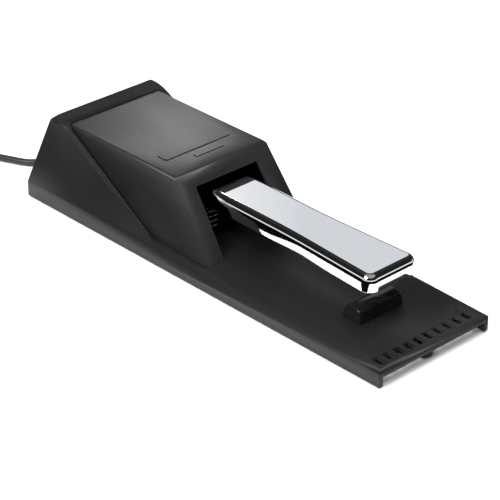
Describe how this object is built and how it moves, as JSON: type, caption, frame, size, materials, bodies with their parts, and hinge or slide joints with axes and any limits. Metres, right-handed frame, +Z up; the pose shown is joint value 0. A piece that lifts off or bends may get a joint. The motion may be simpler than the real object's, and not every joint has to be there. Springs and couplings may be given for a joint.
{
  "type": "sustain pedal",
  "caption": "Piano-style sustain pedal: a chrome foot lever on a long black base with a hooded housing, return spring, switch and a lead with a jack plug.",
  "frame": {"origin": "centre of the casing's plan at floor level, under the rubber feet; the lead, coil and plug are left out of that box", "axes": "+X across the width, +Y from the toe end to the hooded rear, +Z up"},
  "size_m": [0.138, 0.3911, 0.0578],
  "materials": {
    "casing": "fine moulded texture, satin black",
    "cover": "fine moulded texture, satin black",
    "chrome": "polished chrome plate",
    "steel": "zinc-plated sheet",
    "screw_steel": "bright zinc plate",
    "spring_steel": "bright drawn wire",
    "foot_rubber": "matt black rubber",
    "bumper_rubber": "smooth moulded black rubber",
    "felt": "pressed grey felt",
    "nylon": "natural nylon",
    "switch_case": "dark phenolic",
    "brass": "tinned brass blade",
    "red_plastic": "red insulation",
    "cord_pvc": "soft black PVC",
    "tie_plastic": "black plastic",
    "plug_plastic": "moulded black grip",
    "nickel": "bright nickel plate"
  },
  "bodies": {
    "base": {"base_casing": "casing", "upper_cover": "cover", "bottom_plate": "steel", "casing_screw_front_left": "screw_steel", "casing_screw_middle_left": "screw_steel", "casing_screw_rear_left": "screw_steel", "casing_screw_front_right": "screw_steel", "casing_screw_middle_right": "screw_steel", "casing_screw_rear_right": "screw_steel", "rubber_foot_front_left": "foot_rubber", "rubber_foot_rear_left": "foot_rubber", "rubber_foot_front_right": "foot_rubber", "rubber_foot_rear_right": "foot_rubber", "front_centre_foot": "foot_rubber", "cover_screw_left": "screw_steel", "cover_screw_right": "screw_steel", "pin_clip_left": "spring_steel", "pin_clip_right": "spring_steel", "pivot_bracket": "steel", "pivot_pin": "screw_steel", "bracket_screw_front": "screw_steel", "bracket_screw_rear": "screw_steel", "spring_seat": "nylon", "return_spring": "spring_steel", "toe_bumper": "bumper_rubber", "rest_stop_felt": "felt", "switch_body": "switch_case", "switch_bracket": "steel", "switch_screw_front": "screw_steel", "switch_screw_rear": "screw_steel", "switch_bracket_screw_front": "screw_steel", "switch_bracket_screw_rear": "screw_steel", "terminal_open": "brass", "terminal_common": "brass", "strain_relief": "cord_pvc", "cord_inside": "cord_pvc", "cable_clamp": "steel", "clamp_screw": "screw_steel", "wire_common": "red_plastic", "wire_open": "cord_pvc", "cord_lead": "cord_pvc", "cord_coil": "cord_pvc", "cord_tie": "tie_plastic", "cord_tail": "cord_pvc", "plug_boot": "plug_plastic", "plug_grip": "plug_plastic", "plug_sleeve": "nickel", "plug_insulator": "tie_plastic", "plug_tip": "nickel"},
    "lever": {"pedal_lever": "chrome", "pivot_bush_left": "nylon", "pivot_bush_right": "nylon", "switch_pusher": "nylon", "spring_cup": "nylon"},
    "leaf": {"switch_leaf": "spring_steel"},
    "plunger": {"switch_plunger": "red_plastic"}
  },
  "joints": [
    {"name": "pedal_hinge", "type": "hinge", "parent": "base", "child": "lever", "pos_m": [0, 0.08, 0.0365], "axis": [1, 0, 0], "range_deg": [0, 4.4], "stiffness_Nm_per_rad": 15, "springref_deg": -4.58, "deforming": ["return_spring"]},
    {"name": "leaf_hinge", "type": "hinge", "parent": "base", "child": "leaf", "pos_m": [0, 0.064, 0.03265], "axis": [1, 0, 0], "range_deg": [0, 9]},
    {"name": "plunger_slide", "type": "slide", "parent": "base", "child": "plunger", "axis": [0, 0, -1], "range_m": [0, 0.00096]}
  ],
  "couplings": [
    {"joint": "leaf_hinge", "follows": "pedal_hinge", "ratio": 2.03},
    {"joint": "plunger_slide", "follows": "pedal_hinge", "m_per_rad": 0.01235}
  ]
}
